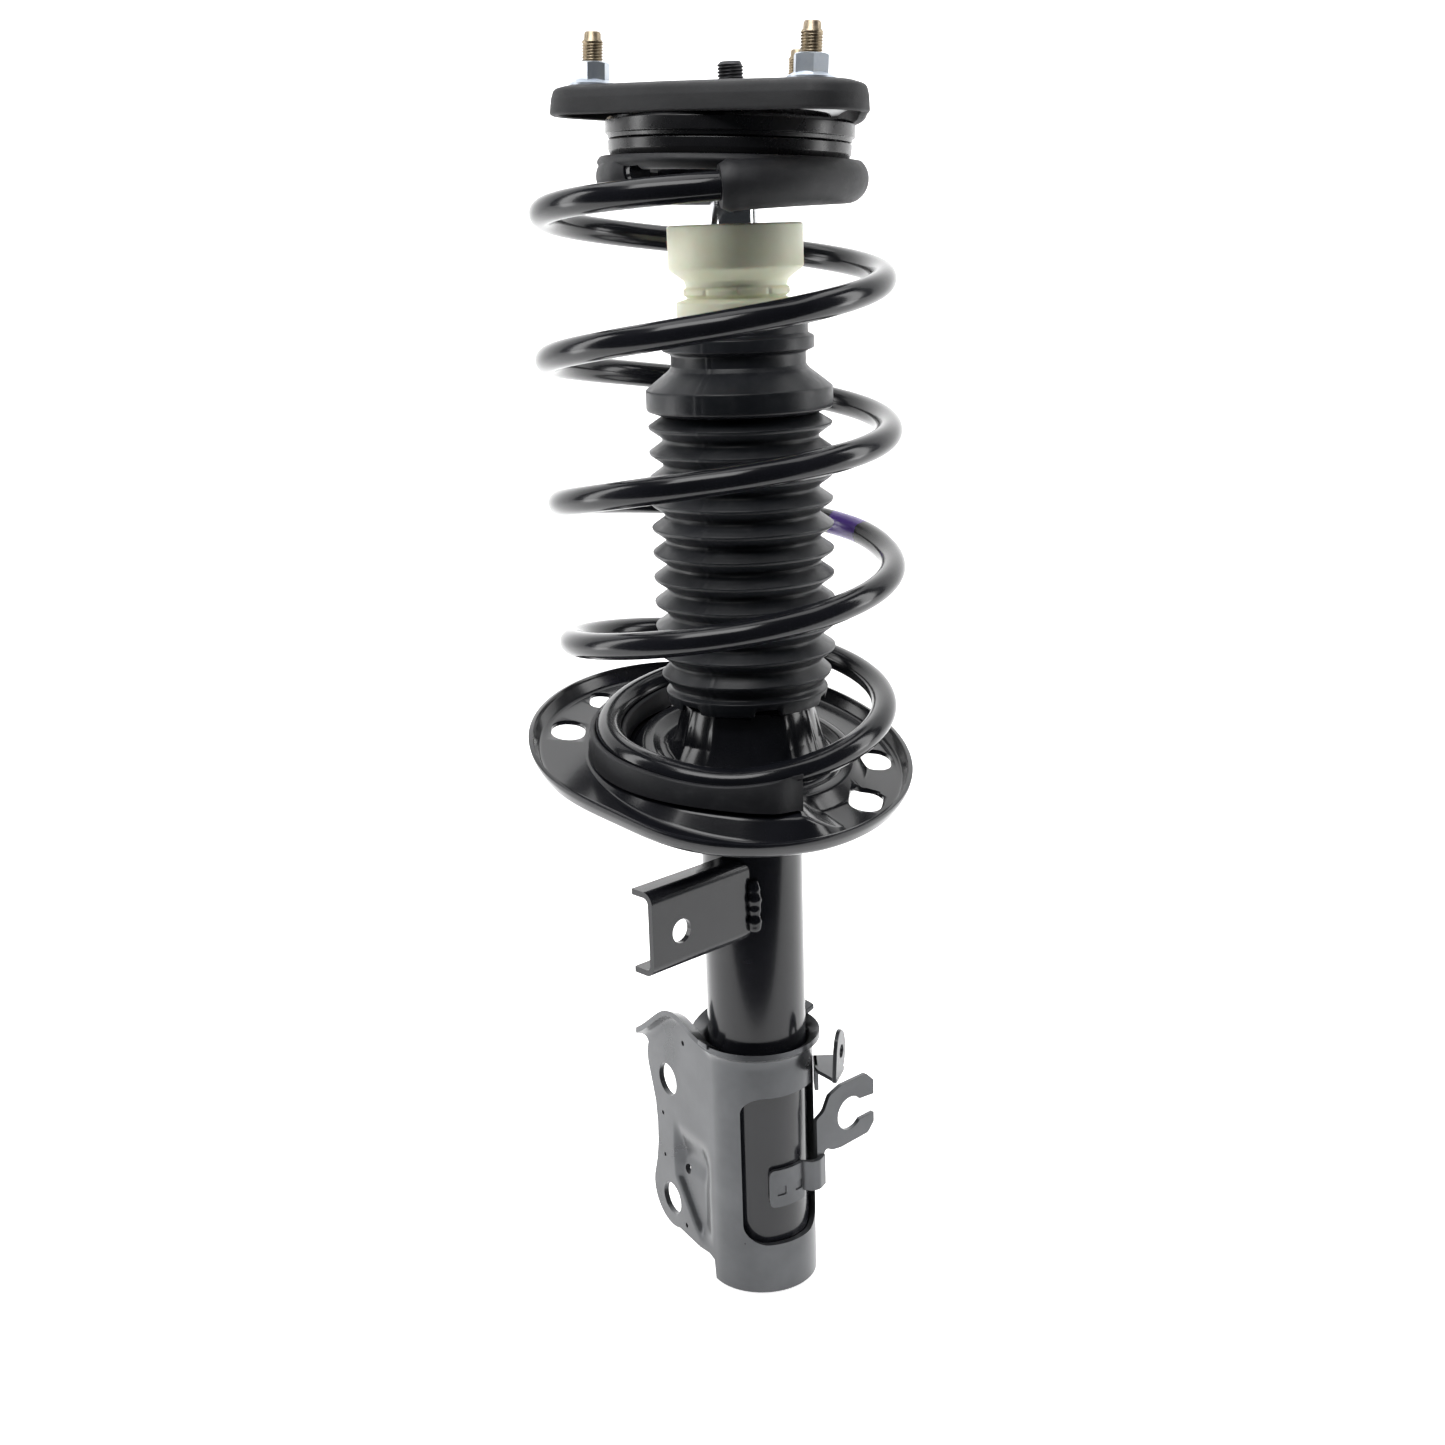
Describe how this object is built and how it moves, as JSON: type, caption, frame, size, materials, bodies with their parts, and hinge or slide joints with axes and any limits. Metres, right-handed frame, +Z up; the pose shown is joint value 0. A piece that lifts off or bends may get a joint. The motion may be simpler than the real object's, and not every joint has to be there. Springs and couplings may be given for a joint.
{
  "type": "suspension strut",
  "caption": "Front suspension strut with a coil spring over a telescopic damper, a swivelling top mount with studs, a dust boot and welded knuckle, link and hose brackets.",
  "frame": {"origin": "centre of the damper's flat bottom face", "axes": "+Z up along the damper axis towards the top mount, -Y towards the side that carries the stabiliser-link bracket and the bracket's window, +X towards the brake-hose hook"},
  "size_m": [0.192, 0.1918, 0.6297],
  "materials": {
    "black_paint": "gloss black electro-coat",
    "bracket_paint": "semi-gloss black electro-coat on pressed sheet",
    "black_plastic": "moulded, semi-gloss",
    "rubber": "matte moulded rubber",
    "boot_rubber": "satin moulded boot",
    "cream_foam": "cellular polyurethane, satin skin",
    "chrome": "ground and chromed",
    "bare_steel": "machined or pressed steel",
    "yellow_zinc": "yellow zinc plate",
    "white_zinc": "clear blue zinc plate"
  },
  "bodies": {
    "strut_body": {"strut_tube": "black_paint", "base_cap": "black_paint", "base_valve": "bare_steel", "pressure_tube": "bare_steel", "rod_guide": "bare_steel", "oil_seal": "rubber", "tube_cap": "bare_steel", "lower_spring_seat": "black_paint", "seat_collar": "black_paint", "lower_insulator": "rubber", "knuckle_bracket": "bracket_paint", "link_bracket": "black_paint", "link_weld": "black_paint", "hose_bracket": "bracket_paint", "sensor_bracket": "bracket_paint", "coil_spring": "black_paint", "dust_boot": "boot_rubber"},
    "spring_top": {"upper_spring_seat": "black_paint", "upper_insulator": "rubber", "bearing_lower_race": "black_plastic"},
    "top_mount": {"mount_rubber": "rubber", "mount_plate": "bare_steel", "mount_bush": "rubber", "bearing_upper_housing": "black_plastic", "stud_1": "yellow_zinc", "stud_2": "yellow_zinc", "stud_3": "yellow_zinc", "nut_1": "white_zinc", "nut_2": "white_zinc", "nut_3": "white_zinc"},
    "rod": {"piston_rod": "chrome", "piston": "bare_steel", "piston_band": "black_plastic", "piston_nut": "bare_steel", "rebound_stop": "rubber", "mount_core": "bare_steel", "rod_nut": "bare_steel"},
    "bearing_cage": {"ball_cage": "bare_steel"},
    "bump_stop": {"bump_stop": "cream_foam"}
  },
  "joints": [
    {"name": "jounce", "type": "slide", "parent": "strut_body", "child": "spring_top", "axis": [0, 0, 1], "range_m": [-0.115, 0], "stiffness_N_per_m": 25000, "springref_m": 0.06, "deforming": ["coil_spring"]},
    {"name": "steer", "type": "hinge", "parent": "spring_top", "child": "top_mount", "pos_m": [0, 0, 0.587], "axis": [0.0488, 0, 0.9988], "range_deg": [-38, 38]},
    {"name": "rod_spin", "type": "hinge", "parent": "spring_top", "child": "rod", "pos_m": [0, 0, 0.587], "axis": [0, 0, 1], "range_deg": [-38, 38]},
    {"name": "ball_cage_spin", "type": "hinge", "parent": "spring_top", "child": "bearing_cage", "pos_m": [0, 0, 0.587], "axis": [0.0488, 0, 0.9988], "range_deg": [-19, 19]},
    {"name": "bump_stop_slide", "type": "slide", "parent": "strut_body", "child": "bump_stop", "axis": [0, 0, 1], "range_m": [-0.10408, 0], "deforming": ["dust_boot"]}
  ],
  "couplings": [
    {"joint": "rod_spin", "follows": "steer", "ratio": 1},
    {"joint": "ball_cage_spin", "follows": "steer", "ratio": 0.5},
    {"joint": "bump_stop_slide", "follows": "jounce", "ratio": 0.905}
  ]
}
